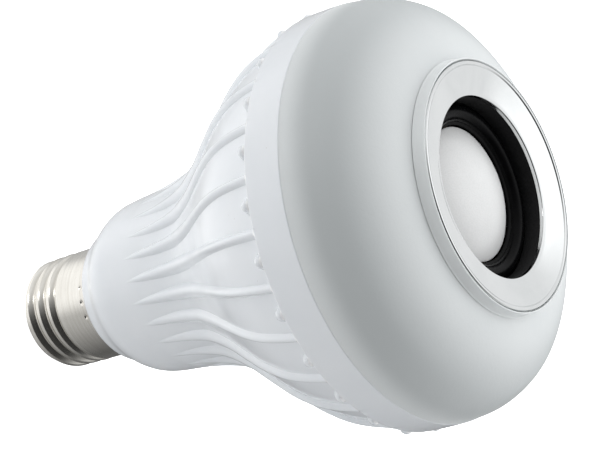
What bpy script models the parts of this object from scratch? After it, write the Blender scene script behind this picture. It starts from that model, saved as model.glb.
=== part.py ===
"""Smart light bulb: an E27 screw cap, a ribbed housing, a milky diffuser and a loudspeaker in its front.

The bulb's axis is +Z. The screw cap points down and the loudspeaker points up. The origin is the centre of the flat
end of the centre contact. Lengths below are in millimetres and are turned into metres when a mesh is made.
"""

import math

import bmesh
import bpy

MM = 0.001
GAP = 0.3

# --- screw cap (E27) ---
CREST_R = 13.1
ROOT_R = 12.05
PITCH = 3.629
SHELL_WALL = 0.35
SHELL_Z0 = 4.3
SHELL_Z1 = 27.9
SKIRT_Z = 17.6
SKIRT_R = 13.0
SHELL_SEGMENTS = 32
CONTACT_R = 4.9
RIVET_R = 1.3

# --- housing ---
LIP_Z = SHELL_Z1 + GAP
SPIGOT_R = 12.35
SPIGOT_Z = 19.5
SEAM_Z = 109.6
RIB_COUNT = 26
COLUMNS_PER_RIB = 4
RIB_Z0 = 47.5
RIB_Z1 = 102.0
RIB_HEIGHT = 1.6
RIB_TWIST = math.radians(2.0)
PEARL_Z = 100.5
PEARL_HEIGHT = 0.9
WALL = 2.0
LEDGE_Z0 = 97.8
LEDGE_Z1 = 101.5
LEDGE_R = 34.4

# outside of the housing over the rib crests: height, radius
HOUSING_OUTSIDE = (
    (LIP_Z, 15.0),
    (29.0, 15.6),
    (32.0, 16.8),
    (35.2, 18.6),
    (38.5, 19.7),
    (47.5, 20.4),
    (56.0, 21.6),
    (64.0, 23.7),
    (71.5, 27.6),
    (79.0, 32.6),
    (86.0, 37.1),
    (93.0, 40.4),
    (RIB_Z1, 42.5),
    (106.6, 42.5),
    (SEAM_Z, 42.3),
)

# --- plate, light board and light sources ---
PLATE_Z0 = LEDGE_Z1 + GAP
PLATE_Z1 = PLATE_Z0 + 1.5
PLATE_R = 39.4
PLATE_HOLE_R = 20.6
BOARD_Z0 = PLATE_Z1 + GAP
BOARD_Z1 = BOARD_Z0 + 1.6
BOARD_R0 = 23.8
BOARD_R1 = 34.2
LED_COUNT = 12
LED_RING_R = 30.5
LED_SIZE = (3.5, 2.8, 0.8)
PLATE_SCREW_R = 36.8
WIRE_HOLE_R = 27.0
WIRE_HOLE_ANGLE = math.radians(200.0)

# --- diffuser ---
DIFFUSER_TOP_Z = 125.8
DIFFUSER_OUTSIDE = (
    (SEAM_Z + GAP, 42.2),
    (114.0, 41.4),
    (117.2, 40.0),
    (119.6, 38.2),
    (121.8, 35.2),
    (123.6, 32.0),
    (124.9, 28.8),
    (DIFFUSER_TOP_Z, 25.3),
)
SKIRT_OUT_R = 39.8
SKIRT_IN_R = 38.4
DIFFUSER_SKIRT_Z = 105.4
DIFFUSER_HOLE_R = 23.6

# --- loudspeaker ---
CARRIER_R0 = 21.3
CARRIER_R1 = 23.2
SPEAKER_LEDGE_Z1 = 120.3
FLANGE_Z0 = SPEAKER_LEDGE_Z1 + GAP
FLANGE_Z1 = FLANGE_Z0 + 1.0
SPEAKER_SCREW_R = 19.85
DOME_R = 13.25
DOME_Z = 120.9
DOME_RISE = 4.0
FORMER_R0 = 7.8
FORMER_R1 = 8.1
TOP_PLATE_Z0 = 108.5
TOP_PLATE_Z1 = 111.5

# --- trim ring ---
RING_OUT_R = 24.1
RING_IN_R = 17.7
RING_TOP_Z = 128.5
RING_IN_Z = 126.75

# --- driver electronics ---
DRIVER_Z0 = 34.0
DRIVER_Z1 = 88.0
DRIVER_WIDTH = 23.0
DRIVER_THICKNESS = 1.6


def clear_scene():
    for obj in list(bpy.data.objects):
        bpy.data.objects.remove(obj, do_unlink=True)


def make_material(name, colour, roughness, metallic=0.0):
    material = bpy.data.materials.new(name)
    material.use_nodes = True
    shader = material.node_tree.nodes["Principled BSDF"]
    shader.inputs["Base Color"].default_value = (*colour, 1.0)
    shader.inputs["Roughness"].default_value = roughness
    shader.inputs["Metallic"].default_value = metallic
    return material


def add_object(name, mesh, look, smooth=True):
    """One named piece with its own material. look is (colour, roughness, metallic)."""
    mesh.materials.append(make_material(name + "_finish", *look))
    if smooth:
        mesh.shade_smooth()
        mesh.set_sharp_from_angle(angle=math.radians(35.0))
    obj = bpy.data.objects.new(name, mesh)
    bpy.context.scene.collection.objects.link(obj)
    return obj


def mesh_from(name, points, faces):
    mesh = bpy.data.meshes.new(name)
    mesh.from_pydata([(x * MM, y * MM, z * MM) for x, y, z in points], [], faces)
    shape = bmesh.new()
    shape.from_mesh(mesh)
    bmesh.ops.recalc_face_normals(shape, faces=shape.faces)
    shape.to_mesh(mesh)
    shape.free()
    return mesh


def polar(radius, angle, z):
    return (radius * math.cos(angle), radius * math.sin(angle), z)


def lathe(name, outline, segments, look):
    """Turns a closed outline of (radius, height) points. A point at radius 0 lies on the axis."""
    points = []
    rows = []
    for radius, z in outline:
        if radius == 0:
            rows.append([len(points)] * segments)
            points.append((0.0, 0.0, z))
            continue
        rows.append(list(range(len(points), len(points) + segments)))
        for k in range(segments):
            points.append(polar(radius, 2 * math.pi * k / segments, z))
    faces = []
    for low, high in zip(rows, rows[1:] + rows[:1]):
        for k in range(segments):
            n = (k + 1) % segments
            corners = (low[k], low[n], high[n], high[k])
            face = list(dict.fromkeys(corners))
            if len(face) > 2:
                faces.append(face)
    return add_object(name, mesh_from(name, points, faces), look)


def place(obj, centre, angle=0.0):
    obj.location = [value * MM for value in centre]
    obj.rotation_euler.z = angle
    return obj


def box(name, size, centre, look, angle=0.0):
    """A block with its middle at centre, turned by angle about its own vertical axis."""
    shape = bmesh.new()
    bmesh.ops.create_cube(shape, size=1.0)
    bmesh.ops.scale(shape, vec=[value * MM for value in size], verts=shape.verts)
    mesh = bpy.data.meshes.new(name)
    shape.to_mesh(mesh)
    shape.free()
    return place(add_object(name, mesh, look, smooth=False), centre, angle)


def cylinder_points(radius, z0, z1, segments, centre, first=0, turn=0.0):
    """Points and faces of an upright cylinder. first is the number of its first point."""
    points = []
    for z in (z0, z1):
        for k in range(segments):
            x, y, _ = polar(radius, 2 * math.pi * k / segments + turn, 0.0)
            points.append((centre[0] + x, centre[1] + y, z))
    low = list(range(first, first + segments))
    high = [index + segments for index in low]
    faces = [low[::-1], high]
    for k in range(segments):
        n = (k + 1) % segments
        faces.append([low[k], low[n], high[n], high[k]])
    return points, faces


def cylinder(name, radius, z0, z1, centre, look, segments=16):
    """An upright can between heights z0 and z1."""
    points, faces = cylinder_points(radius, 0.0, z1 - z0, segments, (0.0, 0.0))
    can = add_object(name, mesh_from(name, points, faces), look)
    return place(can, (*centre, z0))


def drill(piece, holes):
    """Upright round holes, each (radius, bottom, top, centre), cut from one piece."""
    points = []
    faces = []
    for radius, z0, z1, centre in holes:
        more_points, more_faces = cylinder_points(radius, z0, z1, 12, centre, len(points), 0.11)
        points += more_points
        faces += more_faces
    name = piece.name + "_holes"
    tool = bpy.data.objects.new(name, mesh_from(name, points, faces))
    bpy.context.scene.collection.objects.link(tool)
    tool.hide_render = True
    tool.display_type = "WIRE"
    modifier = piece.modifiers.new("holes", "BOOLEAN")
    modifier.operation = "DIFFERENCE"
    modifier.solver = "EXACT"
    modifier.object = tool


def screw(name, centre, head_z, shank_r, head_r, head_height, length, look):
    """A pan-head screw pointing down, its head resting at head_z."""
    outline = (
        (0.0, -length),
        (shank_r, shank_r - length),
        (shank_r, 0.0),
        (head_r, 0.0),
        (head_r, 0.5 * head_height),
        (0.6 * head_r, head_height),
        (0.0, head_height),
    )
    return place(lathe(name, outline, 8, look), (centre[0], centre[1], head_z))


def wire(name, path, radius, look, segments=6, steps=3):
    """A round wire along a smooth curve through the path's points."""
    centres = []
    ends = [path[0]] + list(path) + [path[-1]]
    for a, b, c, d in zip(ends, ends[1:], ends[2:], ends[3:]):
        for k in range(steps):
            t = k / steps
            centres.append([blend(a[i], b[i], c[i], d[i], t) for i in range(3)])
    centres.append(list(path[-1]))
    points = []
    for index, centre in enumerate(centres):
        before = centres[max(index - 1, 0)]
        after = centres[min(index + 1, len(centres) - 1)]
        ahead = [after[i] - before[i] for i in range(3)]
        size = math.sqrt(sum(value * value for value in ahead))
        ahead = [value / size for value in ahead]
        side = (0.0, 1.0, 0.0) if abs(ahead[1]) < 0.9 else (1.0, 0.0, 0.0)
        across = cross(ahead, side)
        size = math.sqrt(sum(value * value for value in across))
        across = [value / size for value in across]
        up = cross(across, ahead)
        for k in range(segments):
            angle = 2 * math.pi * k / segments
            points.append(
                [
                    centre[i] + radius * (across[i] * math.cos(angle) + up[i] * math.sin(angle))
                    for i in range(3)
                ]
            )
    last = len(centres) - 1
    faces = [list(range(segments)), list(range(last * segments, (last + 1) * segments))]
    for row in range(last):
        for k in range(segments):
            n = (k + 1) % segments
            base = row * segments
            faces.append([base + k, base + n, base + segments + n, base + segments + k])
    return add_object(name, mesh_from(name, points, faces), look)


def cross(a, b):
    return [a[1] * b[2] - a[2] * b[1], a[2] * b[0] - a[0] * b[2], a[0] * b[1] - a[1] * b[0]]


def blend(a, b, c, d, t):
    """Catmull-Rom curve between b and c."""
    bend = 2 * a - 5 * b + 4 * c - d
    return b + 0.5 * t * (c - a + t * (bend + t * (3 * (b - c) + d - a)))


def radius_at(outline, z):
    """Radius of a smooth outline of (height, radius) points at height z."""
    last = len(outline) - 1
    index = 0
    while index < last - 1 and outline[index + 1][0] < z:
        index += 1
    z0, r0 = outline[index]
    z1, r1 = outline[index + 1]
    width = z1 - z0
    t = (z - z0) / width
    slopes = []
    for k in (index, index + 1):
        low = outline[max(k - 1, 0)]
        high = outline[min(k + 1, last)]
        slopes.append((high[1] - low[1]) / (high[0] - low[0]) * width)
    a = 2 * r0 - 2 * r1 + slopes[0] + slopes[1]
    b = 3 * (r1 - r0) - 2 * slopes[0] - slopes[1]
    return r0 + t * (slopes[0] + t * (b + t * a))


def inset_outline(outline, wall, low, high, count):
    """Heights and radii of a wall's inside, measured square to its outside."""
    found = []
    for k in range(count + 1):
        z = low + (high - low) * k / count
        slope = (radius_at(outline, z + 0.2) - radius_at(outline, z - 0.2)) / 0.4
        found.append((z, radius_at(outline, z) - wall * math.sqrt(1 + slope * slope)))
    return found


def rib_share(z):
    """How far along its length a rib is at height z, from 0 to 1, or None outside it."""
    if not RIB_Z0 <= z <= RIB_Z1:
        return None
    return (z - RIB_Z0) / (RIB_Z1 - RIB_Z0)


def rib_height(z):
    share = rib_share(z)
    if share is None:
        return 0.0
    return RIB_HEIGHT * min(1.0, 3.0 * share) * (1.0 - 0.35 * share)


def build_housing():
    """Thin ribbed bell with a spigot that goes up inside the metal shell and a ledge for the plate."""
    columns = RIB_COUNT * COLUMNS_PER_RIB
    inner_columns = columns // COLUMNS_PER_RIB
    points = []

    def row(radii, angles, z):
        start = len(points)
        for radius, angle in zip(radii, angles):
            points.append(polar(radius, angle, z))
        return list(range(start, len(points)))

    heights = [LIP_Z, 29.0, 32.0, 35.2, 39.0, RIB_Z0]
    rib_rows = 9
    heights += [RIB_Z0 + (RIB_Z1 - 0.6 - RIB_Z0) * (k + 1) / rib_rows for k in range(rib_rows - 1)]
    heights += [PEARL_Z - 1.0, PEARL_Z, RIB_Z1 - 0.6, RIB_Z1 + 0.1, 106.6, SEAM_Z]
    profile = (1.0, 0.1, 0.0, 0.1)
    outer = []
    for z in heights:
        share = rib_share(z)
        twist = 0.0 if share is None else RIB_TWIST * max(0.0, share - 0.35) / 0.65
        if z > RIB_Z1:
            twist = RIB_TWIST
        base = radius_at(HOUSING_OUTSIDE, z) - rib_height(z)
        pearl = abs(z - PEARL_Z) < 0.1
        radii = []
        angles = []
        for k in range(columns):
            phase = k % COLUMNS_PER_RIB
            height = rib_height(z) * profile[phase]
            if pearl and phase == COLUMNS_PER_RIB // 2:
                height = PEARL_HEIGHT
            radii.append(base + height)
            angles.append(2 * math.pi * k / columns + twist)
        outer.append(row(radii, angles, z))

    def inner_row(radius, z, twist=0.0):
        angles = [2 * math.pi * k / inner_columns + twist for k in range(inner_columns)]
        return row([radius] * inner_columns, angles, z)

    wide_r = 40.1
    inner = [inner_row(wide_r, SEAM_Z, RIB_TWIST), inner_row(wide_r, LEDGE_Z1)]
    inner += [inner_row(LEDGE_R, LEDGE_Z1), inner_row(LEDGE_R, LEDGE_Z0)]
    bore = inset_outline(HOUSING_OUTSIDE, WALL + 1.2, 36.0, LEDGE_Z0, 9)
    for z, radius in reversed(bore):
        inner.append(inner_row(radius, z))
    inner.append(inner_row(14.9, 30.3))
    inner.append(inner_row(10.6, 30.3))
    inner.append(inner_row(10.6, SPIGOT_Z))
    inner.append(inner_row(SPIGOT_R, SPIGOT_Z))
    inner.append(inner_row(SPIGOT_R, LIP_Z))

    faces = []
    for rows in (outer, inner):
        for low, high in zip(rows, rows[1:]):
            for k in range(len(low)):
                n = (k + 1) % len(low)
                faces.append([low[k], low[n], high[n], high[k]])
    for wide, narrow in ((outer[-1], inner[0]), (outer[0], inner[-1])):
        for k in range(inner_columns):
            rim = [wide[(COLUMNS_PER_RIB * k + step) % columns] for step in range(COLUMNS_PER_RIB + 1)]
            faces.append(rim + [narrow[(k + 1) % inner_columns], narrow[k]])
    return add_object("housing", mesh_from("housing", points, faces), WHITE_GLOSS)


def thread_radius(z, angle):
    """Outside radius of the rolled shell, a helix that fades out at both ends."""
    turn = (z - SHELL_Z0) / PITCH - angle / (2 * math.pi)
    wave = 0.5 - 0.5 * math.cos(2 * math.pi * turn)
    rise = min(1.0, max(0.0, (z - SHELL_Z0 - 0.6) / 1.6))
    fall = min(1.0, max(0.0, (SKIRT_Z - z) / 1.5))
    thread = ROOT_R + (CREST_R - ROOT_R) * wave * rise
    return fall * thread + (1 - fall) * SKIRT_R


def build_screw_shell():
    heights = [SHELL_Z0 + PITCH / 4 * k for k in range(16)]
    heights += [19.0, 23.0, SHELL_Z1]
    points = []
    rows = []
    for side, order in ((0.0, heights), (SHELL_WALL, heights[::-1])):
        for z in order:
            rows.append(list(range(len(points), len(points) + SHELL_SEGMENTS)))
            for k in range(SHELL_SEGMENTS):
                angle = 2 * math.pi * k / SHELL_SEGMENTS
                points.append(polar(thread_radius(z, angle) - side, angle, z))
    faces = []
    for low, high in zip(rows, rows[1:] + rows[:1]):
        for k in range(SHELL_SEGMENTS):
            n = (k + 1) % SHELL_SEGMENTS
            faces.append([low[k], low[n], high[n], high[k]])
    return add_object("screw_shell", mesh_from("screw_shell", points, faces), NICKEL)


def build_cap():
    contact = (
        (0.0, 0.0),
        (CONTACT_R - 0.4, 0.0),
        (CONTACT_R, 0.4),
        (CONTACT_R, 1.2),
        (RIVET_R, 1.2),
        (RIVET_R, 7.6),
        (0.0, 7.6),
    )
    lathe("centre_contact", contact, 24, NICKEL)
    insulator = (
        (RIVET_R + GAP, 1.5),
        (5.4, 1.5),
        (11.2, 4.3),
        (11.2, 6.6),
        (RIVET_R + GAP, 6.6),
    )
    lathe("base_insulator", insulator, 24, BLACK_PLASTIC)
    build_screw_shell()


def build_diffuser():
    outside = [(radius_at(DIFFUSER_OUTSIDE, z), z) for z in (SEAM_Z + GAP, 114.0, 117.2)]
    outside += [(radius, z) for z, radius in DIFFUSER_OUTSIDE[3:]]
    top = DIFFUSER_TOP_Z
    rim = [(24.9, top - 0.1), (DIFFUSER_HOLE_R, top - 0.1), (DIFFUSER_HOLE_R, top - 1.9)]
    inside = [(28.0, 122.9), (31.0, 121.7), (34.0, 119.9), (36.4, 117.4), (37.9, 114.4), (38.4, 111.6)]
    skirt = [(SKIRT_IN_R, DIFFUSER_SKIRT_Z), (SKIRT_OUT_R, DIFFUSER_SKIRT_Z), (SKIRT_OUT_R, SEAM_Z + GAP)]
    lathe("diffuser", outside + rim + inside + skirt, 48, MILKY)


def build_plate_and_lights(housing):
    plate_outline = (
        (PLATE_HOLE_R, PLATE_Z0),
        (PLATE_R, PLATE_Z0),
        (PLATE_R, PLATE_Z1),
        (PLATE_HOLE_R, PLATE_Z1),
    )
    plate = lathe("mounting_plate", plate_outline, 40, ALUMINIUM)
    board_outline = (
        (BOARD_R0, BOARD_Z0),
        (BOARD_R1, BOARD_Z0),
        (BOARD_R1, BOARD_Z1),
        (BOARD_R0, BOARD_Z1),
    )
    board = lathe("led_board", board_outline, 40, WHITE_BOARD)
    wire_hole = (2.6, PLATE_Z0 - 2, BOARD_Z1 + 2, polar(WIRE_HOLE_R, WIRE_HOLE_ANGLE, 0))
    board_holes = [wire_hole]
    plate_holes = []
    for k in range(3):
        angle = 2 * math.pi * (k + 0.25) / 3
        spot = polar(PLATE_SCREW_R, angle, 0)
        plate_holes.append((1.4, 98.9, PLATE_Z1 + 1, spot))
        screw(f"plate_screw_{k + 1}", spot, PLATE_Z1 + GAP, 1.0, 2.0, 1.2, 4.4, STEEL)
        spot = polar(LED_RING_R, angle, 0)
        board_holes.append((1.1, PLATE_Z0 - 1, BOARD_Z1 + 1, spot))
        screw(f"board_screw_{k + 1}", spot, BOARD_Z1 + GAP, 0.8, 1.6, 0.9, 4.0, STEEL)
    drill(housing, plate_holes)
    drill(plate, plate_holes + board_holes)
    drill(board, board_holes)
    for k in range(LED_COUNT):
        angle = 2 * math.pi * (k + 0.5) / LED_COUNT
        x, y, _ = polar(LED_RING_R, angle, 0)
        z = BOARD_Z1 + GAP + LED_SIZE[2] / 2
        box(f"led_{k + 1:02d}", LED_SIZE, (x, y, z), PHOSPHOR, angle)


def build_speaker_frame():
    carrier_outline = (
        (CARRIER_R0, BOARD_Z0),
        (CARRIER_R1, BOARD_Z0),
        (CARRIER_R1, 126.05),
        (25.15, 126.05),
        (24.8, 126.6),
        (24.66, 127.3),
        (24.66, 128.1),
        (24.42, 128.1),
        (24.42, 127.2),
        (23.0, 127.2),
        (22.9, 126.5),
        (CARRIER_R0, 126.5),
        (CARRIER_R0, SPEAKER_LEDGE_Z1),
        (18.0, SPEAKER_LEDGE_Z1),
        (18.0, SPEAKER_LEDGE_Z1 - 1.2),
        (CARRIER_R0, SPEAKER_LEDGE_Z1 - 1.8),
    )
    carrier = lathe("speaker_carrier", carrier_outline, 40, WHITE_PLASTIC)
    basket_outline = (
        (9.8, TOP_PLATE_Z1 + GAP),
        (17.2, TOP_PLATE_Z1 + GAP),
        (17.6, 112.2),
        (17.6, FLANGE_Z0),
        (21.0, FLANGE_Z0),
        (21.0, FLANGE_Z1),
        (16.6, FLANGE_Z1),
        (16.6, 115.4),
        (14.8, 115.4),
        (14.8, 114.2),
        (16.0, 114.2),
        (16.0, 112.8),
        (9.8, 112.8),
    )
    basket = lathe("basket", basket_outline, 36, BLACK_METAL)
    holes = []
    for k in range(4):
        spot = polar(SPEAKER_SCREW_R, 2 * math.pi * (k + 0.5) / 4, 0)
        holes.append((0.9, SPEAKER_LEDGE_Z1 - 3, FLANGE_Z1 + 1, spot))
        screw(f"speaker_screw_{k + 1}", spot, FLANGE_Z1 + GAP, 0.7, 1.05, 0.8, 3.4, STEEL)
    drill(basket, holes)
    drill(carrier, holes)
    top_plate = ((9.4, TOP_PLATE_Z0), (16.0, TOP_PLATE_Z0), (16.0, TOP_PLATE_Z1), (9.4, TOP_PLATE_Z1))
    lathe("top_plate", top_plate, 32, STEEL)
    magnet = ((9.8, 101.2), (15.7, 101.2), (15.7, TOP_PLATE_Z0 - GAP), (9.8, TOP_PLATE_Z0 - GAP))
    lathe("magnet", magnet, 32, FERRITE)
    yoke = ((0.0, 97.6), (15.7, 97.6), (15.7, 100.9), (7.4, 100.9), (7.4, TOP_PLATE_Z1), (0.0, TOP_PLATE_Z1))
    lathe("yoke", yoke, 32, STEEL)
    box("speaker_terminal", (1.2, 7.0, 3.6), (18.6, 0.0, 115.6), BOARD_GREEN)
    gasket = ((17.75, 122.6), (18.5, 122.6), (18.5, 125.6), (17.75, 125.6))
    lathe("gasket", gasket, 36, FOAM)


def build_diaphragm():
    """The pieces that move together along the axis, and the two soft rings that hold them."""
    dome = []
    steps = 6
    wall = 0.4
    sphere_r = (DOME_R**2 + DOME_RISE**2) / (2 * DOME_RISE)
    centre_z = DOME_Z + DOME_RISE - sphere_r
    half = math.asin(DOME_R / sphere_r)
    for k in range(steps + 1):
        angle = half * (1 - k / steps)
        dome.append((sphere_r * math.sin(angle) if k < steps else 0.0, centre_z + sphere_r * math.cos(angle)))
    inner_r = sphere_r - wall
    for k in range(steps + 1):
        angle = half * 0.965 * k / steps
        dome.append((inner_r * math.sin(angle) if k else 0.0, centre_z + inner_r * math.cos(angle)))
    lathe("dust_cap", dome, 40, PEARL_WHITE)
    cone = (
        (8.5, 116.9),
        (9.0, 116.9),
        (13.2, 119.6),
        (13.2, 120.4),
        (12.4, 120.4),
        (8.5, 117.6),
    )
    lathe("cone", cone, 36, BLACK_PAPER)
    former = ((FORMER_R0, 107.5), (FORMER_R1, 107.5), (FORMER_R1, 117.6), (FORMER_R0, 117.6))
    lathe("coil_former", former, 24, KAPTON)
    coil = ((8.4, 108.0), (8.9, 108.0), (8.9, 112.0), (8.4, 112.0))
    lathe("voice_coil", coil, 24, COPPER)

    thickness = 0.45
    surround_top = []
    roll_r = 1.7
    roll_centre = 15.75
    lip_z = FLANGE_Z1 + GAP
    surround_top.append((13.55, 121.4))
    for k in range(6):
        angle = math.pi * (1 - k / 5)
        surround_top.append((roll_centre + roll_r * math.cos(angle), 121.6 + roll_r * math.sin(angle)))
    surround_top[-1] = (roll_centre + roll_r, lip_z + thickness)
    surround_top.append((18.5, lip_z + thickness))
    surround_low = [(18.5, lip_z), (roll_centre + roll_r - thickness, lip_z)]
    for k in range(1, 5):
        angle = math.pi * k / 5
        spread = roll_r - thickness
        surround_low.append((roll_centre + spread * math.cos(angle), 121.6 + spread * math.sin(angle)))
    surround_low += [(roll_centre - roll_r + thickness, 121.0), (13.55, 120.9)]
    lathe("surround", surround_top + surround_low, 40, RUBBER)

    spider_top = []
    spider_low = []
    waves = 8
    for k in range(waves + 1):
        share = k / waves
        radius = 8.4 + (16.2 - 8.4) * share
        middle = 116.4 - 0.4 * share + 0.28 * math.sin(math.pi * (k + 0.5))
        spider_top.append((radius, middle + 0.15))
        spider_low.append((radius, middle - 0.15))
    lathe("spider", spider_top + spider_low[::-1], 32, FABRIC)


def build_trim_ring():
    """Chrome ring: an outer bead, a groove, a shallow cone and a lip turned down into the opening."""
    bead_r = 0.5
    outline = []
    for k in range(5):
        angle = math.radians(-60 + 50 * k)
        centre_r = RING_OUT_R - bead_r
        centre_z = RING_TOP_Z - bead_r
        outline.append((centre_r + bead_r * math.cos(angle), centre_z + bead_r * math.sin(angle)))
    outline += [
        (23.1, 127.85),
        (22.9, 128.0),
        (RING_IN_R + 0.3, RING_IN_Z),
        (RING_IN_R, RING_IN_Z - 0.3),
        (RING_IN_R, 125.9),
        (RING_IN_R + 0.6, 125.9),
        (RING_IN_R + 0.6, 126.1),
        (22.7, 127.2),
    ]
    lathe("trim_ring", outline, 52, CHROME)


def build_driver():
    """The mains board stands in the neck with its parts on both faces. A sleeve keeps it off the metal shell."""
    sleeve = ((12.6, 30.6), (13.6, 30.6), (13.6, 58.0), (12.6, 58.0))
    lathe("driver_sleeve", sleeve, 28, WHITE_PLASTIC)
    middle = (DRIVER_Z0 + DRIVER_Z1) / 2
    size = (DRIVER_WIDTH, DRIVER_THICKNESS, DRIVER_Z1 - DRIVER_Z0)
    box("driver_board", size, (0, 0, middle), BOARD_GREEN)
    front = DRIVER_THICKNESS / 2 + GAP
    box("transformer", (13.0, 10.0, 12.0), (0, front + 5.0, 70.0), YELLOW_TAPE)
    box("rectifier", (6.0, 2.4, 4.6), (5.0, -front - 1.2, 40.0), BLACK_PLASTIC)
    box("control_chip", (5.0, 1.6, 4.0), (-4.0, -front - 0.8, 52.0), BLACK_PLASTIC)
    cylinder("input_capacitor", 4.0, 38.0, 50.0, (-3.5, front + 4.0), CAN_BLACK)
    cylinder("output_capacitor", 3.2, 76.5, 86.5, (-7.0, -front - 3.2), CAN_BLACK)
    cylinder("inductor", 2.8, 38.0, 47.0, (5.5, front + 2.8), COPPER)
    box("bluetooth_board", (13.0, 1.0, 16.0), (3.0, -front - 0.5, 68.0), BOARD_GREEN)
    box("bluetooth_chip", (5.0, 0.9, 5.0), (3.0, -front - 1.0 - GAP - 0.45, 66.0), BLACK_PLASTIC)


def build_wires():
    wire("live_wire", ((0, 0, 8.0), (0, -1.0, 14.0), (2.5, -3.0, 24.0), (3.0, -3.0, 34.5)), 0.6, WIRE_RED)
    wire("neutral_wire", ((-11.0, 0, 14.0), (-9.0, 0, 19.0), (-6.0, -2.5, 27.0), (-5.0, -3.0, 34.5)), 0.6, WIRE_BLACK)
    hole_x, hole_y, _ = polar(WIRE_HOLE_R, WIRE_HOLE_ANGLE, 0)
    for side, label, look in ((-1, "pos", WIRE_RED), (1, "neg", WIRE_BLACK)):
        path = (
            (-8.0, 2.7 + 0.8 * side, 87.0),
            (-13.0, 0.8 * side, 92.5),
            (hole_x + 0.2, hole_y + 0.8 * side, 97.5),
            (hole_x, hole_y + 0.8 * side, BOARD_Z1 + 1.2),
        )
        wire(f"led_wire_{label}", path, 0.45, look)
        path = (
            (6.0, 3.8 + 1.2 * side, 87.0),
            (12.0, 1.2 * side, 92.0),
            (18.6, 1.4 * side, 98.0),
            (18.6, 1.4 * side, 113.4),
        )
        wire(f"speaker_wire_{label}", path, 0.45, look)


# finishes: colour, roughness, metallic
NICKEL = ((0.60, 0.58, 0.54), 0.28, 1.0)
BLACK_PLASTIC = ((0.02, 0.02, 0.022), 0.45, 0.0)
WHITE_GLOSS = ((0.82, 0.84, 0.87), 0.22, 0.0)
WHITE_PLASTIC = ((0.80, 0.81, 0.82), 0.4, 0.0)
MILKY = ((0.74, 0.76, 0.76), 0.38, 0.0)
ALUMINIUM = ((0.72, 0.73, 0.74), 0.35, 1.0)
WHITE_BOARD = ((0.85, 0.85, 0.83), 0.5, 0.0)
PHOSPHOR = ((0.90, 0.72, 0.20), 0.4, 0.0)
STEEL = ((0.56, 0.57, 0.58), 0.3, 1.0)
FERRITE = ((0.05, 0.05, 0.055), 0.7, 0.0)
BLACK_METAL = ((0.03, 0.03, 0.03), 0.4, 0.6)
BLACK_PAPER = ((0.025, 0.025, 0.025), 0.7, 0.0)
RUBBER = ((0.012, 0.012, 0.013), 0.35, 0.0)
FABRIC = ((0.55, 0.38, 0.16), 0.9, 0.0)
KAPTON = ((0.55, 0.28, 0.05), 0.35, 0.0)
COPPER = ((0.75, 0.36, 0.18), 0.3, 1.0)
PEARL_WHITE = ((0.84, 0.84, 0.83), 0.3, 0.1)
FOAM = ((0.02, 0.02, 0.02), 0.95, 0.0)
CHROME = ((0.86, 0.87, 0.88), 0.05, 1.0)
BOARD_GREEN = ((0.03, 0.22, 0.08), 0.45, 0.0)
YELLOW_TAPE = ((0.80, 0.58, 0.08), 0.5, 0.0)
CAN_BLACK = ((0.03, 0.03, 0.05), 0.35, 0.0)
WIRE_RED = ((0.55, 0.02, 0.02), 0.45, 0.0)
WIRE_BLACK = ((0.02, 0.02, 0.02), 0.45, 0.0)


clear_scene()
build_cap()
ribbed_housing = build_housing()
build_diffuser()
build_plate_and_lights(ribbed_housing)
build_speaker_frame()
build_diaphragm()
build_trim_ring()
build_driver()
build_wires()
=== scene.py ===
"""Smart light bulb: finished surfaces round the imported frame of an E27 lamp with a loudspeaker in its front.

The bulb's axis is +Z, the screw cap is at the bottom and the loudspeaker at the top. Lengths in the tables
and outlines are millimetres, and become metres when a mesh is made.
"""

import math

import bpy
import numpy as np
from mathutils import Matrix, Vector


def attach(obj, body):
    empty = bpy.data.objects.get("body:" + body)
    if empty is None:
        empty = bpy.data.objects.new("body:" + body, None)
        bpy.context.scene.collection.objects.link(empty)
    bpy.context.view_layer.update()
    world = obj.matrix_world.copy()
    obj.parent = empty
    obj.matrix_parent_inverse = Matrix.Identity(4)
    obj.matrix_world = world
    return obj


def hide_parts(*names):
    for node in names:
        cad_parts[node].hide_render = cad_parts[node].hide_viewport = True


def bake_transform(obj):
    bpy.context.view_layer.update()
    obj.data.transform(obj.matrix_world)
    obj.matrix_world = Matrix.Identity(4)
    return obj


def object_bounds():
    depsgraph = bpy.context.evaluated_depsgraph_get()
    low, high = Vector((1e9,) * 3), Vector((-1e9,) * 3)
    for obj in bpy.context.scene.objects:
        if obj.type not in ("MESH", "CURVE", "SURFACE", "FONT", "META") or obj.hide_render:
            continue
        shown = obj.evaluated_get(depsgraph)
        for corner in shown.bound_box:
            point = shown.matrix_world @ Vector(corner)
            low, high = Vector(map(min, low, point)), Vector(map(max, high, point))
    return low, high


MM = 0.001
TAU = 2 * math.pi

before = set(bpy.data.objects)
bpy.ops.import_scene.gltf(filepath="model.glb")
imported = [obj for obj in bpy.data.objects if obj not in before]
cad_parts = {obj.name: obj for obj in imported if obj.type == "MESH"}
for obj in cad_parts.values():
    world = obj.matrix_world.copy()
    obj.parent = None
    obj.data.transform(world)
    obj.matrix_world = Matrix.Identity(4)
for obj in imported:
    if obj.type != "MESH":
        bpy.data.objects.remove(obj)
cad_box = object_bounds()


# --------------------------------------------------------------------------------------------------
# Materials. Every pattern is in object coordinates, so its scale is per metre.
# --------------------------------------------------------------------------------------------------


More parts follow.
